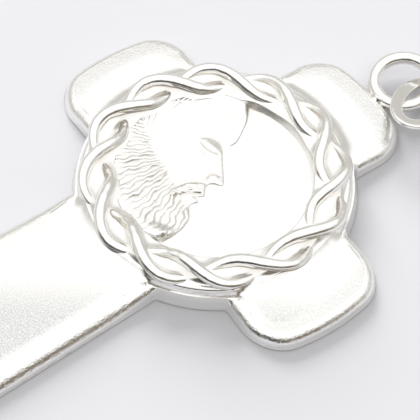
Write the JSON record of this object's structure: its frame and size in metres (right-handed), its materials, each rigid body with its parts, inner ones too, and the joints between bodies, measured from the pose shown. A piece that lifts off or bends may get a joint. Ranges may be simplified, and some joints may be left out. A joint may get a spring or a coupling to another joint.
{
  "type": "cross pendant",
  "caption": "Flat cross pendant with a round medallion, a twisted wreath round a head in relief, an eye and a loose hanging link.",
  "frame": {"origin": "flat back face, under the centre of the medallion", "axes": "+Y along the cross towards the eye, +Z out of the front, +X across the arms"},
  "size_m": [0.029, 0.0509, 0.003],
  "materials": {
    "satin_silver": "satin, bead blasted",
    "smooth_silver": "smooth satin",
    "polished_silver": "polished"
  },
  "bodies": {
    "cross": {"cross_plate": "satin_silver", "medallion_rim": "satin_silver", "medallion_field": "smooth_silver", "head_relief": "smooth_silver", "crown_strand_a": "polished_silver", "crown_strand_b": "polished_silver", "eye_ring": "polished_silver"},
    "link": {"hanging_link": "polished_silver"}
  },
  "joints": [
    {"name": "link_swing", "type": "hinge", "parent": "cross", "child": "link", "pos_m": [0.0021, 0.01884, 0.00139], "axis": [-0.8192, 0.5691, 0.0719], "range_deg": [0, 92]}
  ]
}
